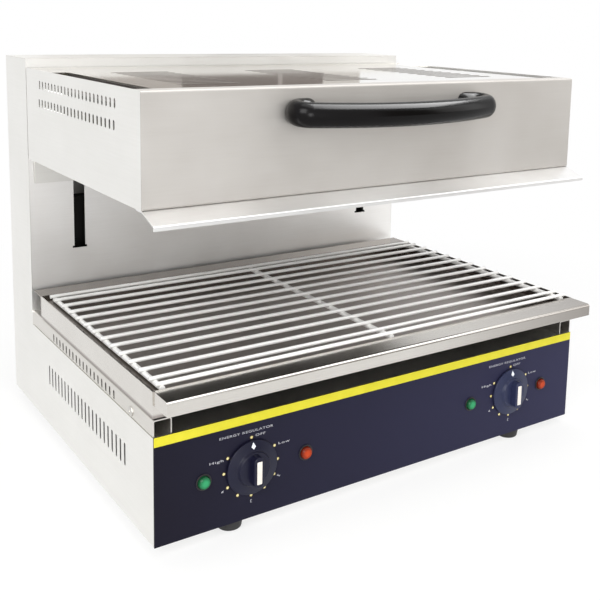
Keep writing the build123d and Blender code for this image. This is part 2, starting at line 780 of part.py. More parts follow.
def hood_side():
    """Right-hand side plate of the hood with two rows of vents and a flange along its foot."""
    upper = (hood_front + upper_vent_start, hood_back - upper_vent_end, hood_top - upper_vent_drop)
    lower = (hood_front + lower_vent_start, hood_back - lower_vent_end, hood_top - lower_vent_drop)
    slots = []
    for first, last, z in (upper, lower):
        pitch = (last - first) / (hood_vent_count - 1)
        for i in range(hood_vent_count):
            slots.append((first + i * pitch, z, hood_vent_width, hood_vent_height))
    plate = side_sheet(panel_back, hood_back, hood_z, hood_top, slots)
    foot = block(inner_half - flange, inner_half, hood_front + flange, rear_plate_y, hood_z, hood_z + sheet)
    return plate + foot


def hood_front_panel():
    """Front panel of the hood, folded back along its top and along its foot."""
    middle = sheet / 2
    face = hood_front + middle
    top, foot = hood_top - middle, hood_z + middle
    points = [(hood_front + top_fold, top), (face, top), (face, foot), (hood_front + flange, foot)]
    panel = folded(points, sheet, hood_bend, -half_width, half_width)
    y1 = hood_front + top_fold + overrun
    z0, z1 = hood_z - overrun, hood_top + overrun
    panel -= pair(block(inner_half, half_width + overrun, panel_back, y1, z0, z1))
    hole = handle_screw + 2 * hole_clearance
    return panel - pair(bar_y(hole, handle_spread / 2, handle_z, hood_front - overrun, panel_back + overrun))


def hood_deck():
    """Slotted top of the hood, with a stepped-down trench along each side."""
    under = deck_top - sheet
    deck_half = inner_half - trench_width
    front = hood_front + top_fold - deck_tuck
    trench_front = hood_front + trench_start
    trench_back = rear_plate_y - trench_back_gap
    deck = block(-deck_half, deck_half, front, rear_plate_y, under, deck_top)
    deck += block(-inner_half, inner_half, trench_back, rear_plate_y, under, deck_top)
    floor_z = deck_top - trench_depth
    floor_back = trench_back - trench_floor_gap
    step = block(deck_half - sheet, deck_half, trench_front, trench_back, floor_z - sheet, deck_top)
    step += block(deck_half, inner_half, trench_front, floor_back, floor_z - sheet, floor_z)
    tab_front = floor_back + trench_tab_gap
    step += block(deck_half, inner_half, tab_front, tab_front + trench_tab, floor_z - sheet, floor_z)
    deck += pair(step)
    cutter = extrude(SlotOverall(deck_slot_length, deck_slot_width), sheet + 2 * overrun)
    first = hood_front + deck_slot_start
    pitch = (rear_plate_y - deck_slot_end - first) / (deck_slot_count - 1)
    field_x = deck_half - deck_field_margin - deck_slot_length / 2
    slots = []
    for x in (-field_x, 0, field_x):
        for i in range(deck_slot_count):
            slots.append(Pos(x, first + i * pitch, under - overrun) * cutter)
    return deck - slots


def hood_rear_plate():
    """Rear plate of the hood, hanging below its sides and carried by the arms."""
    half = half_width - rear_plate_inset
    return block(-half, half, rear_plate_y, hood_back, hood_z - rear_plate_drop, hood_top)


def hood_visor():
    """Bent strip under the front panel, sloping forwards to a hemmed edge."""
    middle = sheet / 2
    root = hood_z - middle
    tip_y = hood_front - visor_reach + middle
    tip_z = hood_z - visor_drop
    points = [(hood_front + flange, root), (hood_front, root), (tip_y, tip_z + visor_hem), (tip_y, tip_z)]
    return folded(points, sheet, visor_bend, -half_width, half_width)


def element_x(run):
    """X of one run of the right-hand heating element."""
    return element_middle_gap / 2 + run * element_pitch


def reflector():
    """Reflector pan over the elements, open below, with a flange on the hood's turned-in edges."""
    pan = block(-reflector_half, reflector_half, reflector_front, reflector_back, reflector_z, reflector_top)
    rim = reflector_z + reflector_sheet
    pan += block(-inner_half, inner_half, panel_back + hood_bend, rear_plate_y, reflector_z, rim)
    wall = reflector_half - reflector_sheet
    y0, y1 = reflector_front + reflector_sheet, reflector_back - reflector_sheet
    pan -= block(-wall, wall, y0, y1, reflector_z - overrun, reflector_top - reflector_sheet)
    hole = element_diameter + 2 * hole_clearance
    for run in (0, element_runs - 1):
        pan -= pair(bar_y(hole, element_x(run), element_z, y1 - overrun, reflector_back + overrun))
    return pan


def insulation():
    """Insulation slab on top of the reflector."""
    half = reflector_half - insulation_margin
    y0, y1 = reflector_front + insulation_margin, reflector_back - insulation_margin
    return block(-half, half, y0, y1, reflector_top, reflector_top + insulation_height)


def heating_element():
    """Right-hand tubular element, bent to and fro, with both ends through the reflector's rear wall."""
    front = reflector_front + reflector_sheet + element_margin
    back = reflector_back - reflector_sheet - element_margin
    end = reflector_back + element_tail
    points = [(element_x(0), end)]
    for run in range(element_runs - 1):
        turn = back if run % 2 else front
        points += [(element_x(run), turn), (element_x(run + 1), turn)]
    points.append((element_x(element_runs - 1), end))
    path = Pos(0, 0, element_z) * FilletPolyline(*points, radius=element_pitch * element_bend_share)
    section = Plane(origin=path @ 0, z_dir=path % 0) * Circle(element_diameter / 2)
    return sweep(section, path=path)


def element_supports():
    """Bars on edge across the reflector that carry the elements."""
    half = reflector_half - reflector_sheet
    top = element_z - element_diameter / 2 - slide_clearance
    first = reflector_front + support_margin
    step = (reflector_back - support_margin - first) / (support_count - 1)
    bars = []
    for i in range(support_count):
        y = first + i * step
        bars.append(block(-half, half, y - support_thickness / 2, y + support_thickness / 2,
                          top - support_height, top))
    return bars


def handle():
    """Bow handle, leaning down: each foot leaves the panel, curls round its end bend and meets the bow."""
    end_x = handle_spread / 2
    foot_x = end_x - handle_foot_bend
    bow_sagitta = handle_reach - 2 * handle_end_bend
    rise = handle_reach - handle_end_bend
    bow_radius = (end_x ** 2 + rise ** 2 - handle_end_bend ** 2) / (2 * bow_sagitta)
    bow_angle = math.degrees(math.asin(end_x / (bow_radius - handle_end_bend)))
    foot = JernArc((foot_x, handle_foot_bend), (0, -1), handle_foot_bend, 90)
    near_end = JernArc(foot @ 1, (1, 0), handle_end_bend, bow_angle - 180)
    bow = JernArc(near_end @ 1, near_end % 1, bow_radius, -2 * bow_angle)
    far_end = JernArc(bow @ 1, bow % 1, handle_end_bend, bow_angle - 180)
    far_foot = JernArc(far_end @ 1, (1, 0), handle_foot_bend, 90)
    path = Wire([foot, near_end, bow, far_end, far_foot])
    oval = Ellipse(handle_depth / 2, handle_height / 2)
    section = Plane(origin=path @ 0, x_dir=(1, 0, 0), z_dir=(0, -1, 0)) * oval
    bow_handle = Pos(0, hood_front, handle_z) * Rot(handle_droop, 0, 0) * sweep(section, path=path)
    bow_handle -= block(-half_width, half_width, hood_front, hood_front + handle_reach, hood_z, mast_top)
    bore = handle_screw + 2 * shaft_clearance
    depth = hood_front - handle_screw_depth
    return bow_handle - pair(bar_y(bore, end_x, handle_z, depth, hood_front + overrun))


def handle_screw_piece():
    """Right-hand handle screw, from inside the front panel into the handle's foot."""
    x = handle_spread / 2
    screw = bar_y(handle_screw_head, x, handle_z, panel_back, panel_back + handle_screw_head_height)
    return screw + bar_y(handle_screw, x, handle_z, hood_front - handle_screw_depth, panel_back)


lamp_x = lamp_places()
bushes = [guide_bush(z) for z in bearing_places()]
bearings = [bearing_block(z) for z in bearing_places()]

single_nodes = {
    "base_floor": [base_floor()],
    "base_deck": [base_deck()],
    "feet": feet(),
    "control_fascia": [control_fascia()],
    "fascia_stripe": [fascia_stripe()],
    "rail_screws": pair(rail_screw()),
    "green_lamps": [lamp(lamp_x[0]), lamp(lamp_x[2])],
    "red_lamps": [lamp(lamp_x[1]), lamp(lamp_x[3])],
    "lamp_holders": [lamp_holder(x) for x in lamp_x],
    "terminal_block": [terminal_block()],
    "cable_gland": [cable_gland()],
    "mast_front_panel": [mast_front_panel()],
    "mast_top_cap": [mast_top_cap()],
    "back_cover": [back_cover()],
    "back_cover_screws": back_cover_screws(),
    "guide_rods": pair(guide_rod()),
    "weight_guide_rods": pair(weight_guide_rod()),
    "guide_cross_members": guide_cross_members(),
    "pulley_brackets": pulley_cheeks() + [mirrored(cheek) for cheek in pulley_cheeks()],
    "pulley_pins": pair(pulley_pin()),
    "lift_ropes": pair(lift_rope()),
    "counterweight": [counterweight()],
    "carriage_plate": [carriage_plate()],
    "carriage_arms": pair(carriage_arm()),
    "rope_lugs": pair(rope_lug()),
    "bearing_blocks": bearings + [mirrored(block_piece) for block_piece in bearings],
    "guide_bushes": bushes + [mirrored(bush) for bush in bushes],
    "drip_tray": [drip_tray()],
    "grid_ledges": pair(grid_ledge()),
    "tray_runners": pair(tray_runner()),
    "wire_grid": [wire_grid()],
    "hood_front_panel": [hood_front_panel()],
    "hood_deck": [hood_deck()],
    "hood_rear_plate": [hood_rear_plate()],
    "hood_visor": [hood_visor()],
    "reflector": [reflector()],
    "insulation": [insulation()],
    "element_supports": element_supports(),
    "handle": [handle()],
    "handle_screws": pair(handle_screw_piece()),
}

# Pieces that have a left and a right node each, modelled on the right.
sided_nodes = {
    "base_side": base_side(),
    "tray_rail": tray_rail(),
    "energy_regulator": regulator(),
    "spindle": spindle(),
    "knob": knob(),
    "knob_insert": knob_insert(),
    "mast_side": mast_side(),
    "pulley": pulley(),
    "hood_side": hood_side(),
    "heating_element": heating_element(),
}

os.makedirs("parts", exist_ok=True)
for name, solids in single_nodes.items():
    export_step(Compound(children=solids), f"parts/{name}.step")
for name, solid in sided_nodes.items():
    export_step(solid, f"parts/{name}_right.step")
    export_step(mirrored(solid), f"parts/{name}_left.step")
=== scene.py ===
import math

import bmesh
import bpy
from mathutils import Matrix, Vector


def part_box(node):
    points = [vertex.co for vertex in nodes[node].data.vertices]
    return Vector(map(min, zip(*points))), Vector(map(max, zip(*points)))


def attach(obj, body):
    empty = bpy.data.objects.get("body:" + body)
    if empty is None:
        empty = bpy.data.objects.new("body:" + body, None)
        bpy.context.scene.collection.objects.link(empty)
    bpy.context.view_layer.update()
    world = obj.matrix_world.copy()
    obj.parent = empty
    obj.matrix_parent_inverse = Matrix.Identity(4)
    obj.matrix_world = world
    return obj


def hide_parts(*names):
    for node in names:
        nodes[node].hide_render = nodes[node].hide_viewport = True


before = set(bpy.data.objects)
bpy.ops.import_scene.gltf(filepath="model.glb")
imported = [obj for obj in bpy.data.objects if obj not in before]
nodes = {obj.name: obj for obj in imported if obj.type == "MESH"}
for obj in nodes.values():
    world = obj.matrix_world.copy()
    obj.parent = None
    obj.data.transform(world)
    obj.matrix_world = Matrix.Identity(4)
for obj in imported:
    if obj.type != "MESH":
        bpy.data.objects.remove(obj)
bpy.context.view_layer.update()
mm = 0.001

# Casing: side panels, deck and floor of the base, the mast's sheets and the tray rails.
# Stainless sheet 1.2 mm thick, folded and spot-welded, with a satin finish brushed on at the mill.
# The brushing gives a soft pale reflection and faint streaks, drawn wider than real so that they show.
satin_roughness, streak_stretch = 0.38, 0.03
noise_low, noise_high = 0.3, 0.7
smear_share, sheet_gloss_spread = 0.6, 0.12
# Heights in mm over which the mast panel's painted light fades out towards its top.
mast_painted_light_fade_start, mast_painted_light_fade_end = 440.0, 466.0


def linear(hex_colour):
    """The linear colour of an sRGB hex value."""
    parts = [int(hex_colour[i:i + 2], 16) / 255 for i in (1, 3, 5)]
    return [p / 12.92 if p <= 0.04045 else ((p + 0.055) / 1.055) ** 2.4 for p in parts] + [1.0]


def add(tree, kind, sockets=None, **settings):
    """Adds a node, gives it its settings, and sets or links its inputs."""
    node = tree.nodes.new(kind)
    for name, value in settings.items():
        setattr(node, name, value)
    for name, value in (sockets or {}).items():
        if isinstance(value, bpy.types.NodeSocket):
            tree.links.new(value, node.inputs[name])
        else:
            node.inputs[name].default_value = value
    return node


def two_tones(tree, factor, low, high, dark, pale):
    """A colour that runs from one hex value to another as a factor goes from low to high."""
    ramp = add(tree, "ShaderNodeValToRGB", {"Fac": factor})
    for element, position, colour in zip(ramp.color_ramp.elements, (low, high), (dark, pale)):
        element.position = position
        element.color = linear(colour)
    return ramp.outputs[0]


def start_finish(name):
    """A new node material, its tree and its Object coordinates."""
    material = bpy.data.materials.new(name)
    material.use_nodes = True
    tree = material.node_tree
    tree.nodes.clear()
    return material, tree, add(tree, "ShaderNodeTexCoord").outputs["Object"]


def end_finish(tree, sockets):
    """Joins a Principled shader with these sockets to the material's output."""
    shader = add(tree, "ShaderNodeBsdfPrincipled", sockets)
    add(tree, "ShaderNodeOutputMaterial", {"Surface": shader.outputs[0]})


def rolled_sheet(name, pale, deep, roughness, grain, streak_mm=1.8, streak_depth_mm=0.004, smear_mm=80.0):
    """Brushed or polished stainless: streaks along the grain, slow smears and fine bump."""
    material, tree, place = start_finish(name)
    along = add(tree, "ShaderNodeMapping", {"Vector": place, "Scale": grain}).outputs[0]
    streaks = add(tree, "ShaderNodeTexNoise", {"Vector": along, "Scale": 1 / (streak_mm * mm), "Detail": 4.0,
                                               "Roughness": 0.6}).outputs[0]
    smears = add(tree, "ShaderNodeTexNoise", {"Vector": place, "Scale": 1 / (smear_mm * mm), "Detail": 3.0})
    blend = add(tree, "ShaderNodeMix", {0: smear_share, 2: streaks, 3: smears.outputs[0]}).outputs[0]
    rough = add(tree, "ShaderNodeMapRange", {"Value": blend, "From Min": noise_low, "From Max": noise_high,
                                             "To Min": roughness * (1 - sheet_gloss_spread),
                                             "To Max": roughness * (1 + sheet_gloss_spread)})
    bump = add(tree, "ShaderNodeBump", {"Height": streaks, "Strength": 0.15,
                                        "Distance": streak_depth_mm * mm})
    tone = two_tones(tree, blend, noise_low, noise_high, deep, pale)
    end_finish(tree, {"Base Color": tone, "Metallic": 1.0, "Roughness": rough.outputs[0],
                      "Normal": bump.outputs[0]})
    return material


def run_over(material, axis, start, end, tone, roughness=None):
    """Runs a finish over to another tone, and to another roughness, between two places along an axis."""
    tree = material.node_tree
    base, rough = (tree.nodes["Principled BSDF"].inputs[name] for name in ("Base Color", "Roughness"))
    along = add(tree, "ShaderNodeSeparateXYZ", {0: tree.nodes["Texture Coordinate"].outputs["Object"]})
    share = add(tree, "ShaderNodeMapRange", {"Value": along.outputs[axis], "From Min": start * mm,
                                             "From Max": end * mm}).outputs[0]
    mixed = add(tree, "ShaderNodeMix", {0: share, 6: base.links[0].from_socket, 7: linear(tone)},
                data_type="RGBA")
    tree.links.new(mixed.outputs[2], base)
    if roughness:
        blurred = add(tree, "ShaderNodeMix", {0: share, 2: rough.links[0].from_socket, 3: roughness})
        tree.links.new(blurred.outputs[0], rough)


def dress(material, *names):
    """Gives CAD nodes their finish."""
    for name in names:
        for holder in nodes[name].material_slots:
            holder.material = material


along_x = (streak_stretch, 1.0, 1.0)
along_y = (1.0, streak_stretch, 1.0)
satin_across = rolled_sheet("satin_stainless_brushed_across", "#ebeae6", "#e2e0db",
                            roughness=satin_roughness, grain=along_x)
satin_deep = rolled_sheet("satin_stainless_brushed_front_to_back", "#f0efec", "#e8e7e3",
                          roughness=satin_roughness, grain=along_y)
satin_rail = rolled_sheet("satin_stainless_rail", "#dedbd6", "#d4d1cb", roughness=satin_roughness,
                          grain=along_y)
# The mast's front panel is painted paler than the other sheet: painted light in the hood's shade.
satin_mast = rolled_sheet("satin_stainless_mast_front", "#fbfaf8", "#f3f1ee", roughness=0.42, grain=along_x)
dress(satin_deep, "base_side_left", "base_side_right", "mast_side_left", "mast_side_right", "base_floor",
      "base_deck")
dress(satin_rail, "tray_rail_left", "tray_rail_right")
# Towards its top, where the lamps light it, the mast panel's painted light fades to a plainer tone.
run_over(satin_mast, "Z", mast_painted_light_fade_start, mast_painted_light_fade_end, "#e6e5e2")
dress(satin_mast, "mast_front_panel")
dress(satin_across, "mast_top_cap", "back_cover")

# Feet: four low round feet under the base, moulded in black rubber and screwed up into the floor.
# Rubber straight from the mould: a dull black with a faint sheen and a fine sand-like texture.
foot_top, foot_sole, foot_height, foot_edge = 15.0, 13.0, 12.0, 1.5
foot_x = 207.0
foot_rows = (-210.5, 220.0)
weld_distance, crease_angle, edge_segments = 0.001, 40.0, 3
cloud_low, moulding_gloss_spread = 0.35, 0.15


def spun(bm, profile, axis, centre, steps=48, ring=False):
    """Adds a turned solid to a bmesh; its profile of (radius, height on the axis) may close as a ring."""
    turned = bmesh.new()
    points = [turned.verts.new((radius * mm, 0, along * mm)) for radius, along in profile]
    for a, b in zip(points, points[1:] + points[:1] if ring else points[1:]):
        turned.edges.new((a, b))
    bmesh.ops.spin(turned, geom=turned.verts[:] + turned.edges[:], cent=(0, 0, 0), axis=(0, 0, 1),
                   angle=math.tau, steps=steps, use_merge=True)
    bmesh.ops.remove_doubles(turned, verts=turned.verts, dist=weld_distance * mm)
    bmesh.ops.recalc_face_normals(turned, faces=turned.faces)
    turn = Vector((0, 0, 1)).rotation_difference(Vector(axis)).to_matrix().to_4x4()
    bmesh.ops.transform(turned, matrix=Matrix.Translation(Vector(centre) * mm) @ turn, verts=turned.verts)
    join(bm, turned)


def join(bm, other):
    """Moves one bmesh into another."""
    held = bpy.data.meshes.new("held")
    other.to_mesh(held)
    other.free()
    bm.from_mesh(held)
    bpy.data.meshes.remove(held)


def soften(bm, radius, least=25.0):
    """Rounds every edge of a bmesh that turns by more than an angle."""
    sharp = [e for e in bm.edges if e.is_manifold and e.calc_face_angle() > math.radians(least)]
    bmesh.ops.bevel(bm, geom=sharp, offset=radius * mm, offset_type="OFFSET", segments=edge_segments,
                    profile=0.5, affect="EDGES", material=-1, clamp_overlap=True)


def piece(name, bm, material, body, slot, *stood_for):
    """Makes a bmesh a piece that rides on a body, in place of the CAD nodes that it stands for."""
    mesh = bpy.data.meshes.new(name)
    bm.to_mesh(mesh)
    bm.free()
    made = bpy.data.objects.new(name, mesh)
    bpy.context.scene.collection.objects.link(made)
    mesh.materials.append(material)
    mesh.polygons.foreach_set("use_smooth", [True] * len(mesh.polygons))
    mesh.set_sharp_from_angle(angle=math.radians(crease_angle))
    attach(made, body)
    if stood_for:
        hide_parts(*stood_for)


def moulding(name, colour, shift, roughness, grit_mm, grit_depth_mm, specular=0.5, cloud_mm=14.0):
    """Moulded, printed or painted finish: one colour with slow variation, fine grit and uneven gloss."""
    material, tree, place = start_finish(name)
    cloud = add(tree, "ShaderNodeTexNoise", {"Vector": place, "Scale": 1 / (cloud_mm * mm),
                                             "Detail": 3.0}).outputs[0]
    grit = add(tree, "ShaderNodeTexNoise", {"Vector": place, "Scale": 1 / (grit_mm * mm), "Detail": 2.0})
    rough = add(tree, "ShaderNodeMapRange", {"Value": cloud, "From Min": noise_low, "From Max": noise_high,
                                             "To Min": roughness * (1 - moulding_gloss_spread),
                                             "To Max": roughness * (1 + moulding_gloss_spread)})
    bump = add(tree, "ShaderNodeBump", {"Height": grit.outputs[0], "Strength": 0.3,
                                        "Distance": grit_depth_mm * mm})
    tone = two_tones(tree, cloud, cloud_low, noise_high, colour, shift)
    end_finish(tree, {"Base Color": tone, "Normal": bump.outputs[0], "Roughness": rough.outputs[0],
                      "Specular IOR Level": specular})
    return material


rubber = moulding("moulded_black_rubber", "#1d1c1d", "#2a292a", roughness=0.62, grit_mm=0.8,
                  grit_depth_mm=0.05)
bm = bmesh.new()
for x in (-foot_x, foot_x):
    for y in foot_rows:
        spun(bm, [(0, 0), (foot_sole, 0), (foot_top, foot_height), (0, foot_height)], (0, 0, 1), (x, y, 0))
soften(bm, foot_edge)
piece("rubber_feet", bm, rubber, "base", "black_rubber", "feet")

# Control fascia: a flat plate across the front of the base, 1.5 mm thick and fixed from behind.
# Stove-enamelled navy, nearly black, with a soft gloss; the stripe along its top is printed yellow film.
casing_half = 300.0
enamel = moulding("navy_stove_enamel", "#14121f", "#161523", roughness=0.4, grit_mm=3.5, grit_depth_mm=0.003,
                  specular=0.12, cloud_mm=160.0)
# Towards the right the enamel is painted lighter and bluer: a painted sheen.
run_over(enamel, "X", -casing_half, casing_half, "#2c2c46")
yellow_film = moulding("yellow_printed_film", "#d2c926", "#d7ce30", roughness=0.45, grit_mm=1.2,
                       grit_depth_mm=0.005, specular=0.3)
dress(enamel, "control_fascia")
dress(yellow_film, "fascia_stripe")

# Dial printing: ten dots round each knob, with words and numbers, screen-printed on the fascia.
# Thin inks, a greyish white for the words and pale yellow for the dots, which have a dark mustard outline.
fascia_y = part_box("control_fascia")[0].y / mm
dial_x, dial_z = 190.0, 70.0
dials = (("left", -dial_x), ("right", dial_x))
ink, ink_grit, ink_relief = 0.06, 0.6, 0.005
dot_circle, dot_core, dot_outline = 32.5, 2.8, 4.2
word_height, number_height = 2.6, 3.6
number_gap = 6.5
number_circle = dot_circle + number_gap
heading_x, heading_rise, heading_width = -6.0, 39.5, 64.0
dots = [(0, "OFF"), (60, "Low"), (90, ""), (120, "2"), (150, ""), (180, "3"), (210, ""), (240, "4"),
        (270, ""), (300, "High")]
word_widths = {"OFF": 12.0, "Low": 14.0, "High": 16.0}
word_gap, word_lift = 4.5, 1.0
capital_share, letter_spacing, dot_sides = 0.7, 1.15, 20
grey_ink = moulding("greyish_white_screen_ink", "#c2c2c8", "#b2b2ba", roughness=0.5, grit_mm=ink_grit,
                    grit_depth_mm=ink_relief)
pale_ink = moulding("pale_yellow_screen_ink", "#efe3a6", "#e2d48c", roughness=0.5, grit_mm=ink_grit,
                    grit_depth_mm=ink_relief)
mustard_ink = moulding("mustard_screen_ink", "#4a3a12", "#5a4818", roughness=0.5, grit_mm=ink_grit,
                       grit_depth_mm=ink_relief)


def words(bm, text, height, x, z, turn=0.0, width=None, align="CENTER"):
    """Adds a printed word to a bmesh, upright on the fascia, its letters of that height."""
    curve = bpy.data.curves.new("words", "FONT")
    curve.body = text
    curve.align_x = align
    curve.align_y = "CENTER"
    curve.size = height * mm / capital_share
    curve.extrude = ink * mm / 2
    curve.space_character = letter_spacing
    holder = bpy.data.objects.new("words", curve)
    bpy.context.scene.collection.objects.link(holder)
    ready = holder.evaluated_get(bpy.context.evaluated_depsgraph_get())
    mesh = bpy.data.meshes.new_from_object(ready)
    bpy.data.objects.remove(holder)
    spread = max(v.co.x for v in mesh.vertices) - min(v.co.x for v in mesh.vertices)
    stretch = Matrix.Scale(width * mm / spread, 4, (1, 0, 0)) if width else Matrix.Identity(4)
    stand = Matrix.Rotation(math.radians(90), 4, "X")
    spin = Matrix.Rotation(math.radians(turn), 4, "Y")
    mesh.transform(Matrix.Translation(Vector((x, fascia_y - ink / 2, z)) * mm) @ spin @ stand @ stretch)
    bm.from_mesh(mesh)
    bpy.data.meshes.remove(mesh)


def dot(bm, diameter, thickness, x, z):
    """Adds a thin printed dot to a bmesh, flat on the fascia."""
    place = Matrix.Translation(Vector((x, fascia_y - thickness / 2, z)) * mm)
    bmesh.ops.create_cone(bm, cap_ends=True, segments=dot_sides, radius1=diameter * mm / 2,
                          radius2=diameter * mm / 2, depth=thickness * mm,
                          matrix=place @ Matrix.Rotation(math.radians(90), 4, "X"))


for side, x0 in dials:
    lettering, cores, rims = bmesh.new(), bmesh.new(), bmesh.new()
    words(lettering, "ENERGY REGULATOR", word_height, x0 + heading_x, dial_z + heading_rise,
          width=heading_width)
    for angle, label in dots:
        sine, cosine = math.sin(math.radians(angle)), math.cos(math.radians(angle))
        x, z = x0 + dot_circle * sine, dial_z + dot_circle * cosine
        dot(cores, dot_core, 2 * ink, x, z)
        dot(rims, dot_outline, ink, x, z)
        if label in ("OFF", "Low"):
            words(lettering, label, word_height, x + word_gap, z + word_lift, width=word_widths[label],
                  align="LEFT")
        elif label == "High":
            words(lettering, label, word_height, x - word_gap, z - word_lift, width=word_widths[label],
                  align="RIGHT")
        elif label:
            words(lettering, label, number_height, x0 + number_circle * sine,
                  dial_z + number_circle * cosine, turn=angle)
    piece("dial_words_" + side, lettering, grey_ink, "base", "white_plastic")
    piece("dial_dots_" + side, cores, pale_ink, "base", "yellow_vinyl")
    piece("dial_dot_rims_" + side, rims, mustard_ink, "base", "yellow_vinyl")

# Knobs: one on each regulator's spindle, compression-moulded in black phenolic with a painted bluish sheen.
# A wide sloping skirt, a low hub and a rounded grip bar; an arrow is printed at the top of the skirt,
# and a white plastic insert is pressed into the face of the grip.
knob_gap, knob_steps, knob_rounding, knob_least_turn = 1.0, 72, 0.6, 9.0
knob_back = fascia_y - knob_gap
skirt_radius, skirt_edge = 30.0, 2.5
hub_radius, hub_foot, hub_face, hub_top_radius = 19.5, 4.5, 8.0, 18.0
grip_width, grip_length, grip_face, grip_sink = 12.0, 34.0, 17.0, 0.3
grip_end, grip_edge = 5.5, 1.2
insert_width, insert_length, insert_depth, insert_proud = 6.0, 25.0, 1.5, 0.3
insert_end, insert_edge = 0.8, 0.3
end_segments = 6
arrow_tip, arrow_shoulder, arrow_tail, arrow_half_width = 28.5, 23.8, 21.0, 2.7
phenolic = moulding("moulded_black_phenolic", "#131327", "#16172c", roughness=0.36, grit_mm=0.9,
                    grit_depth_mm=0.008, specular=0.25, cloud_mm=40.0)
# The painted sheen is lighter and bluer towards the right-hand knob.
run_over(phenolic, "X", -dial_x, dial_x, "#2a2f4a")
white_insert = moulding("pressed_white_plastic", "#e6e0d8", "#dcd5cc", roughness=0.42, grit_mm=0.8,
                        grit_depth_mm=0.01)
white_ink = moulding("white_screen_ink", "#eef2f8", "#e2e8f0", roughness=0.45, grit_mm=ink_grit,
                     grit_depth_mm=ink_relief)


def rounded_bar(bm, x, z, width, length, back, front, end_radius, edge_radius):
    """Adds an upright bar to a bmesh, its ends rounded and its edges softened; back and front are Y."""
    bar = bmesh.new()
    size = Matrix.Diagonal(Vector((width, back - front, length, 1)) * mm)
    size[3][3] = 1
    place = Matrix.Translation(Vector((x, (back + front) / 2, z)) * mm)
    bmesh.ops.create_cube(bar, size=1, matrix=place @ size)
    corners = [e for e in bar.edges if abs((e.verts[0].co - e.verts[1].co).normalized().y) > 0.5]
    bmesh.ops.bevel(bar, geom=corners, offset=end_radius * mm, offset_type="OFFSET", segments=end_segments,
                    profile=0.5, affect="EDGES", material=-1, clamp_overlap=True)
    rim = [e for e in bar.edges if all(v.co.y < (front + edge_radius) * mm for v in e.verts)]
    bmesh.ops.bevel(bar, geom=rim, offset=edge_radius * mm, offset_type="OFFSET", segments=edge_segments,
                    profile=0.5, affect="EDGES", material=-1, clamp_overlap=True)
    join(bm, bar)


for side, x0 in dials:
    bm = bmesh.new()
    spun(bm, [(0, 0), (skirt_radius, 0), (skirt_radius, skirt_edge), (hub_radius, hub_foot),
              (hub_top_radius, hub_face), (0, hub_face)], (0, -1, 0), (x0, knob_back, dial_z),
         steps=knob_steps)
    soften(bm, knob_rounding, least=knob_least_turn)
    rounded_bar(bm, x0, dial_z, grip_width, grip_length, knob_back - hub_face + grip_sink,
                knob_back - grip_face, grip_end, grip_edge)
    piece("phenolic_knob_" + side, bm, phenolic, "knob_" + side, "black_phenolic", "knob_" + side)
    bm = bmesh.new()
    rounded_bar(bm, x0, dial_z, insert_width, insert_length, knob_back - grip_face + insert_depth,
                knob_back - grip_face - insert_proud, insert_end, insert_edge)
    piece("white_insert_" + side, bm, white_insert, "knob_" + side, "white_plastic", "knob_insert_" + side)
    bm = bmesh.new()
    corners = []
    for radius, across in ((arrow_tip, 0), (arrow_shoulder, arrow_half_width), (arrow_tail, 0),
                           (arrow_shoulder, -arrow_half_width)):
        rise = skirt_edge + (hub_foot - skirt_edge) * (skirt_radius - radius) / (skirt_radius - hub_radius)
        corners.append(bm.verts.new(Vector((x0 + across, knob_back - rise - ink, dial_z + radius)) * mm))
    bm.faces.new(corners)
    bmesh.ops.recalc_face_normals(bm, faces=bm.faces)
    bmesh.ops.solidify(bm, geom=bm.faces[:], thickness=ink * mm)
    bmesh.ops.recalc_face_normals(bm, faces=bm.faces)
    piece("knob_arrow_" + side, bm, white_ink, "knob_" + side, "white_plastic")

# Pilot lamps: green and orange-red lenses in black bezels, pressed into holes in the fascia.
# Moulded translucent acrylic, ribbed inside, so the colour is deeper at the rim than in the middle.
lamp_z, lamp_radius = 68.0, 7.0
lamp_places = (-246.0, -122.0, 122.0, 246.0)
lamp_repeat = lamp_places[2] - lamp_places[0]
bezel_gap, bezel_width, bezel_height, bezel_edge = 0.1, 1.7, 1.3, 0.4
rib_mm, rib_depth_mm = 2.2, 0.1
lens_core, lens_edge = 0.35, 0.95


def lens(name, middle, rim, first_x):
    """Translucent lamp plastic, bright in the middle of both lenses and deep at their rims."""
    material, tree, place = start_finish(name)
    centre = Vector((-first_x, -fascia_y, -lamp_z)) * mm
    local = add(tree, "ShaderNodeMapping", {"Vector": place, "Location": centre}).outputs[0]
    half = Vector((lamp_repeat, lamp_repeat, lamp_repeat)) * mm / 2
    local = add(tree, "ShaderNodeVectorMath", {0: local, 1: half, 2: -half}, operation="WRAP").outputs[0]
    scale = Vector((1, 0, 1)) / (lamp_radius * mm)
    flat = add(tree, "ShaderNodeMapping", {"Vector": local, "Scale": scale}).outputs[0]
    reach = add(tree, "ShaderNodeVectorMath", {0: flat}, operation="LENGTH").outputs["Value"]
    ribs = add(tree, "ShaderNodeTexVoronoi", {"Vector": place, "Scale": 1 / (rib_mm * mm)})
    bump = add(tree, "ShaderNodeBump", {"Height": ribs.outputs["Distance"], "Strength": 0.2,
                                        "Distance": rib_depth_mm * mm})
    tone = two_tones(tree, reach, lens_core, lens_edge, middle, rim)
    end_finish(tree, {"Base Color": tone, "Roughness": 0.25, "Normal": bump.outputs[0],
                      "Specular IOR Level": 0.2})
    return material


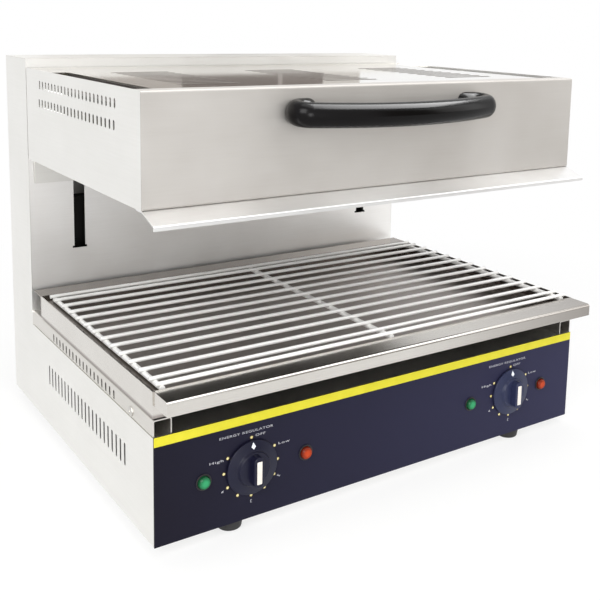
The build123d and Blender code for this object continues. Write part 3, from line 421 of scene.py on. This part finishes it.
dress(lens("green_lamp_acrylic", "#2f9360", "#0f4a2a", lamp_places[0]), "green_lamps")
dress(lens("orange_red_lamp_acrylic", "#b23c14", "#661c08", lamp_places[1]), "red_lamps")
nylon = moulding("black_nylon", "#131214", "#1b1a1c", roughness=0.5, grit_mm=0.8, grit_depth_mm=0.02)
dress(nylon, "lamp_holders", "cable_gland")
bm = bmesh.new()
inner = lamp_radius + bezel_gap
outer = inner + bezel_width
for x in lamp_places:
    spun(bm, [(inner, 0), (outer, 0), (outer, bezel_height), (inner, bezel_height)], (0, -1, 0),
         (x, fascia_y, lamp_z), ring=True)
soften(bm, bezel_edge)
piece("lamp_bezels", bm, nylon, "base", "black_nylon")

# Regulators and terminals: the energy regulators behind the fascia, their spindles and the mains terminals.
# Pale heat-resistant mouldings; the spindles, like the handle's hidden screws, are zinc-plated steel.
metal_gloss_spread = 0.2
pale_moulding = moulding("pale_heat_resistant_moulding", "#c2b9a6", "#b3a993", roughness=0.55, grit_mm=1.0,
                         grit_depth_mm=0.03)
dress(pale_moulding, "energy_regulator_left", "energy_regulator_right", "terminal_block")


def machined(name, pale, deep, roughness, mark_mm, metallic=1.0, mark_depth_mm=0.02):
    """Machined, plated or cast metal: fine marks and small stains in its colour and gloss."""
    material, tree, place = start_finish(name)
    marks = add(tree, "ShaderNodeTexNoise", {"Vector": place, "Scale": 1 / (mark_mm * mm),
                                             "Detail": 5.0}).outputs[0]
    rough = add(tree, "ShaderNodeMapRange", {"Value": marks, "From Min": noise_low, "From Max": noise_high,
                                             "To Min": roughness * (1 - metal_gloss_spread),
                                             "To Max": roughness * (1 + metal_gloss_spread)})
    bump = add(tree, "ShaderNodeBump", {"Height": marks, "Strength": 0.2, "Distance": mark_depth_mm * mm})
    tone = two_tones(tree, marks, noise_low, noise_high, deep, pale)
    end_finish(tree, {"Base Color": tone, "Metallic": metallic, "Roughness": rough.outputs[0],
                      "Normal": bump.outputs[0]})
    return material


zinc = machined("zinc_plated_steel", "#d8d6d2", "#bfbcb6", roughness=0.3, mark_mm=3.0)
dress(zinc, "spindle_left", "spindle_right", "handle_screws")

# Screws: pan heads on the tray rails and round the back cover, cold-headed in steel with a cross recess.
# Zinc-plated, so they are a little brighter and bluer than the sheet that they hold.
recess_depth_share, recess_width_share, recess_reach_share, recess_slope_share = 0.6, 0.16, 0.42, 0.04
flat_share, rim_share, dome_turn, dome_steps, head_steps = 0.62, 0.35, 15, 7, 36
crown_margin = 0.01
rail_head, rail_head_height, rail_shank, rail_shank_length = 11.0, 1.5, 5.0, 6.0
cover_head, cover_head_height, cover_shank, cover_shank_length = 8.0, 2.5, 4.0, 8.0


def screw(bm, head, height, shank, length, axis, seat):
    """Adds a pan-headed screw to a bmesh; seat is the middle of the face that its head bears on."""
    made = bmesh.new()
    radius = head / 2
    dome = [(radius * (flat_share + (1 - flat_share) * math.cos(a)),
             height * (rim_share + (1 - rim_share) * math.sin(a)))
            for a in (math.radians(dome_turn * step) for step in range(dome_steps))]
    spun(made, [(0, -length), (shank / 2, -length), (shank / 2, 0), (radius, 0), *dome, (0, height)],
         (0, 0, 1), (0, 0, 0), steps=head_steps)
    level = (height - crown_margin) * mm

    def crown():
        return [f for f in made.faces if all(v.co.z > level for v in f.verts)]

    bmesh.ops.dissolve_faces(made, faces=crown())
    half, reach = head * recess_width_share / 2, head * recess_reach_share / 2
    for offset in (-reach, -half, half, reach):
        for way in ((1, 0, 0), (0, 1, 0)):
            top = crown()
            edges = {e for f in top for e in f.edges}
            verts = {v for f in top for v in f.verts}
            bmesh.ops.bisect_plane(made, geom=[*top, *edges, *verts], plane_co=Vector(way) * offset * mm,
                                   plane_no=way)
    recess = []
    for face in crown():
        middle = face.calc_center_median() / mm
        x, y = abs(middle.x), abs(middle.y)
        if max(x, y) < reach and min(x, y) < half:
            recess.append(face)
    bmesh.ops.inset_region(made, faces=recess, thickness=recess_slope_share * head * mm,
                           depth=-recess_depth_share * height * mm, use_even_offset=True)
    turn = Vector((0, 0, 1)).rotation_difference(Vector(axis)).to_matrix().to_4x4()
    bmesh.ops.transform(made, matrix=Matrix.Translation(Vector(seat) * mm) @ turn, verts=made.verts)
    join(bm, made)


rail_screw_y, rail_screw_z = -170.0, 135.5
bm = bmesh.new()
for way in (-1, 1):
    screw(bm, rail_head, rail_head_height, rail_shank, rail_shank_length, (way, 0, 0),
          (way * casing_half, rail_screw_y, rail_screw_z))
piece("rail_pan_screws", bm, zinc, "base", "zinc_screw", "rail_screws")

cover_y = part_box("back_cover")[1].y / mm
screw_lo, screw_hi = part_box("back_cover_screws")
cover_screw_x, cover_screw_rows = screw_hi.x / mm - cover_head / 2, 4
lowest, highest = screw_lo.z / mm + cover_head / 2, screw_hi.z / mm - cover_head / 2
bm = bmesh.new()
for x in (-cover_screw_x, cover_screw_x):
    for row in range(cover_screw_rows):
        z = lowest + (highest - lowest) * row / (cover_screw_rows - 1)
        screw(bm, cover_head, cover_head_height, cover_shank, cover_shank_length, (0, 1, 0), (x, cover_y, z))
piece("cover_pan_screws", bm, zinc, "base", "zinc_screw", "back_cover_screws")

# Rise-and-fall gear in the mast: ground guide rods in steel cross members, the carriage with bronze bushes,
# a cast counterweight on its own rods, and two wire ropes over turned pulleys.
ground = machined("hard_chromed_ground_bar", "#d2d2d2", "#bcbcbc", roughness=0.15, mark_mm=2.0)
mild = machined("plated_mild_steel", "#a6a5a2", "#8b8a87", roughness=0.42, mark_mm=6.0)
bronze = machined("sintered_bronze", "#b0844a", "#8f6736", roughness=0.45, mark_mm=1.5)
iron = machined("plain_cast_iron", "#4a4846", "#363433", roughness=0.7, mark_mm=2.5)
alloy = machined("turned_aluminium", "#c4c4c2", "#adadab", roughness=0.35, mark_mm=2.0)
dress(ground, "guide_rods", "weight_guide_rods", "pulley_pins")
dress(mild, "guide_cross_members", "pulley_brackets", "carriage_plate", "carriage_arms", "rope_lugs")
dress(bronze, "guide_bushes")
dress(iron, "counterweight", "bearing_blocks")
dress(alloy, "pulley_left", "pulley_right")

strand_mm, strand_lean, strand_depth_mm = 9.0, 55, 0.3
wire_rope, tree, place = start_finish("laid_steel_wire_rope")
lean = (0.0, math.radians(strand_lean), 0.0)
lay = add(tree, "ShaderNodeMapping", {"Vector": place, "Rotation": lean}).outputs[0]
strands = add(tree, "ShaderNodeTexWave", {"Vector": lay, "Scale": 1 / (strand_mm * mm),
                                          "Distortion": 0.4}).outputs[0]
bump = add(tree, "ShaderNodeBump", {"Height": strands, "Strength": 0.6, "Distance": strand_depth_mm * mm})
end_finish(tree, {"Base Color": two_tones(tree, strands, 0.0, 1.0, "#5b5a58", "#a8a6a2"), "Metallic": 1.0,
                  "Roughness": 0.4, "Normal": bump.outputs[0]})
dress(wire_rope, "lift_ropes")

# Drip tray: a shallow folded pan that slides on the rails, with a wide front lip and ledges for the grid.
# Bright-rolled stainless, so it mirrors the dark underside of the hood; towards its right end, on the pan's
# floor and on the flange behind the pan it is painted darker, as painted shade and reflection, and the floor
# is rougher.
pan_floor, pan_wall = 150.0, 152.5
flange_start, flange_end = 126.0, 131.0
bright_rolled = rolled_sheet("bright_rolled_stainless", "#dcd9d4", "#d0ccc6", roughness=0.2, grain=along_x,
                             streak_mm=2.5, streak_depth_mm=0.003, smear_mm=90.0)
# The grid's ledges are the rolled sheet painted dark, as painted shade under the grid.
painted_shade_ledge = rolled_sheet("painted_shade_rolled_stainless", "#6e655f", "#625a55", roughness=0.2, grain=along_x,
                            streak_mm=2.5, streak_depth_mm=0.003, smear_mm=60.0)
run_over(bright_rolled, "X", 0.0, casing_half, "#a09b96")
run_over(bright_rolled, "Y", flange_start, flange_end, "#8a837d")
run_over(bright_rolled, "Z", pan_wall, pan_floor, "#a69f9b", roughness=0.42)
dress(bright_rolled, "drip_tray", "tray_runners")
dress(painted_shade_ledge, "grid_ledges")

# Wire grid: three cross rods with fourteen wires across them, resistance-welded where they cross.
# Bright drawn stainless wire, electropolished after welding; its finish is mostly diffuse, so that it stays
# almost white in the hood's shade.
bright_wire = machined("electropolished_wire", "#fdfcfa", "#f6f5f2", roughness=0.35, mark_mm=40.0,
                       metallic=0.1, mark_depth_mm=0.001)
dress(bright_wire, "wire_grid")

# Hood: side plates with two rows of vents, a front panel folded back along its top, a slotted deck between
# two trenches, a rear plate that hangs on the arms, and the visor under the front edge.
# Satin stainless outside; the deck is polished and mirrors what stands behind it, and its trenches are
# rougher and painted dark, as painted shade.
polished = rolled_sheet("polished_stainless", "#e8e6e2", "#e0ddd8", roughness=0.09, grain=along_x,
                        streak_mm=2.5, streak_depth_mm=0.002, smear_mm=90.0)
# The hood's front panel is the satin sheet painted darker, as painted shade.
satin_front = rolled_sheet("satin_stainless_hood_front", "#c7c4c0", "#bdb9b4", roughness=0.56, grain=along_x)
dress(satin_front, "hood_front_panel")
satin_visor = rolled_sheet("satin_stainless_visor", "#eaeae9", "#e2e1e0", roughness=satin_roughness,
                           grain=along_x)
dress(satin_visor, "hood_visor")
dress(satin_across, "hood_rear_plate")
dress(satin_deep, "hood_side_left", "hood_side_right")
deck_top, deck_under, trench_top = 466.8, 465.6, 464.6
# Below the deck's top the trenches are painted dark, as painted shade, and rougher.
run_over(polished, "Z", deck_under, trench_top, "#5c5552", roughness=0.5)
dress(polished, "hood_deck")

# Louvres: the edge behind each slot in the hood's deck is pressed up into a low rounded ridge.
# They are part of the deck sheet; the press tool has dulled its polish on them, and their darker tone is
# painted shade.
louvre_length, louvre_width, louvre_height, louvre_sink, louvre_edge = 76.0, 1.6, 0.35, 0.3, 0.48
louvre_fields = (-188.0, 0.0, 188.0)
louvre_first, louvre_pitch, louvre_count = -127.5, 19.0, 11
slot_half_width = 2.5
bm = bmesh.new()
for x in louvre_fields:
    for row in range(louvre_count):
        y = louvre_first + row * louvre_pitch + slot_half_width + louvre_width / 2
        z = deck_top + (louvre_height - louvre_sink) / 2
        depth = louvre_height + louvre_sink
        size = Matrix.Diagonal((louvre_length * mm, louvre_width * mm, depth * mm, 1))
        bmesh.ops.create_cube(bm, size=1, matrix=Matrix.Translation(Vector((x, y, z)) * mm) @ size)
soften(bm, louvre_edge)
pressed = rolled_sheet("pressed_louvre_edge", "#9a948f", "#8d8782", roughness=0.35, grain=along_x)
piece("deck_louvres", bm, pressed, "hood", "polished_stainless")

# Heating inside the hood: two tubular elements on bars under a reflector pan, with insulation above it.
# Dark alloy-sheathed tubes under a pan browned by heat and painted darker still as shade, so the hood is
# dark from below.
sheath = machined("heat_dulled_alloy_sheath", "#3f3a37", "#2b2725", roughness=0.6, mark_mm=4.0)
browned_and_shaded = rolled_sheet("heat_browned_and_shaded_stainless", "#463d37", "#332c28", roughness=0.34, grain=along_x,
                       streak_mm=2.0, smear_mm=40.0)
wool = moulding("mineral_wool_slab", "#c9bc94", "#b3a57c", roughness=0.95, grit_mm=2.5, grit_depth_mm=0.8)
dress(sheath, "heating_element_left", "heating_element_right")
dress(browned_and_shaded, "reflector", "element_supports")
dress(wool, "insulation")

# Handle: a bow on the front of the hood, compression-moulded in glossy black and held by two hidden screws.
# The moulding is polished, so it carries a broad light band along its upper side, drawn by the strip lights.
gloss_black = moulding("glossy_black_phenolic", "#050404", "#080607", roughness=0.2, grit_mm=6.0,
                       grit_depth_mm=0.006, specular=0.15, cloud_mm=60.0)
dress(gloss_black, "handle")

# Floor: a sheet of white studio paper with a soft shadow under the grill, and plain white further out.
# The camera and reflections see part of its white as its own light.
floor_half, shadow_reach = 4.0, 1.1
near_share, near_reach = 0.7, 0.6


def flat_sheet(name, matrix, material):
    """A stage sheet: a square from -1 to 1, placed and sized by a matrix."""
    bm = bmesh.new()
    bmesh.ops.create_grid(bm, x_segments=1, y_segments=1, size=1, matrix=matrix)
    mesh = bpy.data.meshes.new(name)
    bm.to_mesh(mesh)
    bm.free()
    mesh.materials.append(material)
    made = bpy.data.objects.new(name, mesh)
    bpy.context.scene.collection.objects.link(made)
    return made


def seen_directly(tree):
    """1 for rays from the camera, a reflection or glass, and 0 for light that falls on the object."""
    path = add(tree, "ShaderNodeLightPath").outputs
    seen = add(tree, "ShaderNodeMath", {0: path["Is Camera Ray"], 1: path["Is Glossy Ray"]},
               operation="MAXIMUM")
    return add(tree, "ShaderNodeMath", {0: seen.outputs[0], 1: path["Is Transmission Ray"]},
               operation="MAXIMUM").outputs[0]


paper, tree, place = start_finish("white_studio_paper")
spread = add(tree, "ShaderNodeMapping", {"Vector": place, "Scale": (1 / shadow_reach,) * 3}).outputs[0]
near = add(tree, "ShaderNodeTexGradient", {"Vector": spread}, gradient_type="SPHERICAL").outputs["Fac"]
own_white = add(tree, "ShaderNodeMapRange", {"Value": near, "From Max": near_reach, "To Min": 1.0,
                                             "To Max": near_share})
share = add(tree, "ShaderNodeMath", {0: seen_directly(tree), 1: own_white.outputs[0]}, operation="MULTIPLY")
matt = add(tree, "ShaderNodeBsdfDiffuse", {"Color": linear("#f7f7f6")})
white = add(tree, "ShaderNodeEmission", {"Strength": 1.0})
mixed = add(tree, "ShaderNodeMixShader", {0: share.outputs[0], 1: matt.outputs[0], 2: white.outputs[0]})
add(tree, "ShaderNodeOutputMaterial", {"Surface": mixed.outputs[0]})
flat_sheet("studio_floor", Matrix.Diagonal((floor_half, floor_half, 1, 1)), paper)

# Studio cards: grey cards behind the grill and in front of it that only show as reflections in the metal.
# Each is its left end, its right end and its tone; they stand side by side.
behind_y, front_y = 3.0, -2.2
behind_cards = [(0.6, 1.25, "#b4ada7"), (1.25, 1.785, "#7f7772"), (1.785, 1.81, "#a8a19c"),
                (1.81, 2.06, "#857d78"), (2.06, 2.3, "#d0cbc5")]
front_cards = [(0.8, 2.0, "#928d87"), (2.0, 3.6, "#aca7a1")]
card_height = 1.5


def card(name, matrix, tone, strength=1.0):
    """A card or strip light that only reflections see, placed and sized by a matrix, and its tree."""
    material, tree = start_finish(name)[:2]
    light = add(tree, "ShaderNodeEmission", {"Color": linear(tone), "Strength": strength})
    add(tree, "ShaderNodeOutputMaterial", {"Surface": light.outputs[0]})
    held = flat_sheet(name, matrix, material)
    held.visible_camera = False
    held.visible_diffuse = False
    held.visible_transmission = False
    held.visible_shadow = False
    return held, tree


upright = Matrix.Rotation(math.radians(90), 4, "X")
for row, y, cards in (("behind", behind_y, behind_cards), ("front", front_y, front_cards)):
    for count, (x0, x1, tone) in enumerate(cards):
        middle = Matrix.Translation(((x0 + x1) / 2, y, card_height / 2))
        size = Matrix.Diagonal(((x1 - x0) / 2, card_height / 2, 1, 1))
        card("studio_card_%s_%d" % (row, count), middle @ upright @ size, tone)

# Strip lights: a white ceiling strip to the right that only reflections see, and a bright one under it that
# lights the handle alone and is clear for the rest; together they draw the light band on the handle.
strip_middle, strip_size, strip_strength = (1.45, -0.9, 2.44), (2.3, 2.2), 2.5
strip = Matrix.Translation(strip_middle) @ Matrix.Diagonal((strip_size[0] / 2, strip_size[1] / 2, 1, 1))
card("studio_strip", strip, "#ffffff", strip_strength)
handle_strip_drop, handle_strip_strength = 0.04, 16.0
lowered = Matrix.Translation((0, 0, -handle_strip_drop)) @ strip
handle_strip, tree = card("studio_handle_strip", lowered, "#ffffff", handle_strip_strength)
clear = add(tree, "ShaderNodeBsdfTransparent")
both = add(tree, "ShaderNodeAddShader", {0: clear.outputs[0], 1: tree.nodes["Emission"].outputs[0]})
tree.links.new(both.outputs[0], tree.nodes["Material Output"].inputs["Surface"])
lit = bpy.data.collections.new("lit_by_handle_strip")
lit.objects.link(nodes["handle"])
handle_strip.light_linking.receiver_collection = lit

# Studio light: a white room, weaker where it only lights the object, a large soft key lamp from the front
# left, a soft lamp above, a weak one from the right, and a low one in front that reaches under the hood.
room_fill = 0.55
world = bpy.data.worlds.new("white_studio")
bpy.context.scene.world = world
world.use_nodes = True
tree = world.node_tree
tree.nodes.clear()
level = add(tree, "ShaderNodeMapRange", {"Value": seen_directly(tree), "To Min": room_fill, "To Max": 1.0})
room = add(tree, "ShaderNodeBackground", {"Color": linear("#ffffff"), "Strength": level.outputs[0]})
add(tree, "ShaderNodeOutputWorld", {"Surface": room.outputs[0]})


def softbox(name, place, target, size, watts):
    """A soft square lamp aimed at a point."""
    data = bpy.data.lights.new(name, "AREA")
    data.size = size
    data.energy = watts
    held = bpy.data.objects.new(name, data)
    aim = Vector(target) - Vector(place)
    held.matrix_world = Matrix.Translation(place) @ aim.to_track_quat("-Z", "Y").to_matrix().to_4x4()
    bpy.context.scene.collection.objects.link(held)


softbox("key_softbox", place=(-2.2, -1.6, 1.8), target=(0, 0, 0.25), size=1.6, watts=50.0)
softbox("top_softbox", place=(0.2, -0.4, 2.6), target=(0, 0, 0.2), size=2.0, watts=30.0)
softbox("fill_softbox", place=(2.4, -1.8, 1.0), target=(0, 0, 0.25), size=1.6, watts=12.0)
softbox("grid_softbox", place=(-0.9, -2.6, 0.55), target=(0, 0, 0.2), size=0.9, watts=18.0)

# Camera: it stands at the left, a little above the hood, and is shifted so that uprights stay near parallel.
camera_place = (-0.64046, -1.01791, 0.54131)
yaw, pitch, roll = 0.60146, 0.15551, -0.02238
sensor_mm, lens_mm, shift_across, shift_up = 36.0, 55.03, -0.05, -0.2333
forward = Vector((math.sin(yaw) * math.cos(pitch), math.cos(yaw) * math.cos(pitch), -math.sin(pitch)))
level_right = Vector((math.cos(yaw), -math.sin(yaw), 0))
level_down = forward.cross(level_right)
right = math.cos(roll) * level_right + math.sin(roll) * level_down
down = math.cos(roll) * level_down - math.sin(roll) * level_right
data = bpy.data.cameras.new("camera")
data.sensor_width = sensor_mm
data.lens = lens_mm
data.shift_x = shift_across
data.shift_y = shift_up
camera = bpy.data.objects.new("camera", data)
axes = Matrix((right, -down, -forward)).transposed().to_4x4()
camera.matrix_world = Matrix.Translation(camera_place) @ axes
bpy.context.scene.collection.objects.link(camera)
bpy.context.scene.camera = camera
bpy.context.scene.view_settings.view_transform = "Standard"
